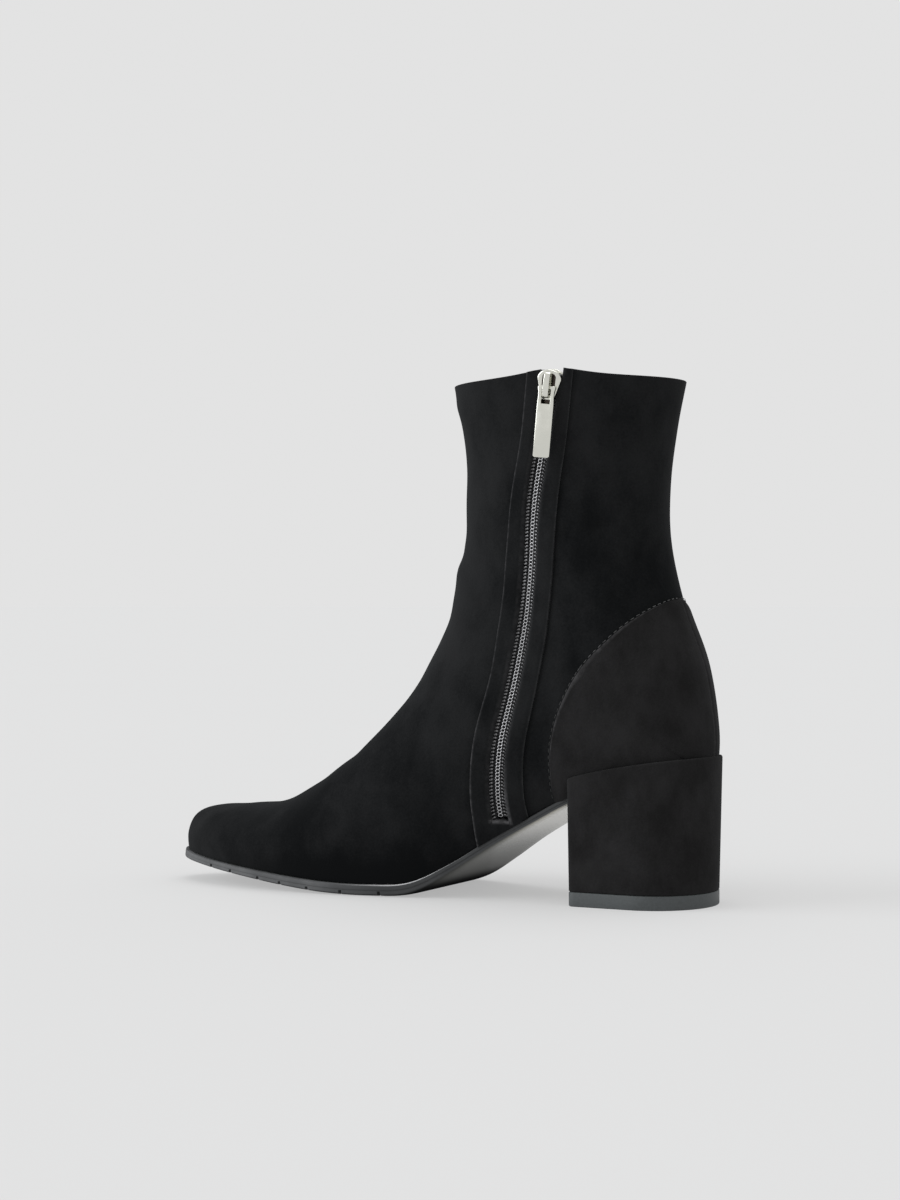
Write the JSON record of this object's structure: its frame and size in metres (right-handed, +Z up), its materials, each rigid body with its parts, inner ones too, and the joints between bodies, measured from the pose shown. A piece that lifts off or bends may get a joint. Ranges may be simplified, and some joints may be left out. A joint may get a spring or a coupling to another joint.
{
  "type": "suede ankle boot",
  "caption": "Suede ankle boot for the right foot, hollow and open at the collar, with a covered block heel, a thin rubber sole and a zip with a hinged pull tab on its inner side.",
  "frame": {"origin": "middle of the boot's outline in plan, on the floor that it stands on", "axes": "+X towards the toe, +Y towards the inner side of the foot, +Z up"},
  "size_m": [0.238, 0.082, 0.2067],
  "materials": {
    "suede": "black suede with a short soft nap",
    "sock_lining": "smooth dark lining leather",
    "sole_rubber": "satin dark grey rubber",
    "top_piece_rubber": "matt grey rubber",
    "zip_tape": "woven black tape",
    "zip_coil": "dark coil",
    "nickel": "satin nickel plating"
  },
  "bodies": {
    "boot": {"upper": "suede", "heel_counter": "suede", "heel_block": "suede", "insole": "sock_lining", "outsole": "sole_rubber", "heel_top_piece": "top_piece_rubber", "zip_tape_front": "zip_tape", "zip_tape_rear": "zip_tape", "zip_teeth_front": "zip_coil", "zip_teeth_rear": "zip_coil", "zip_slider": "nickel"},
    "pull_tab": {"zip_pull_tab": "nickel"}
  },
  "joints": [
    {"name": "pull_tab_hinge", "type": "hinge", "parent": "boot", "child": "pull_tab", "pos_m": [-0.06288, 0.03701, 0.19896], "axis": [0.9909, 0.0987, 0.0913], "range_deg": [-4, 150]}
  ]
}
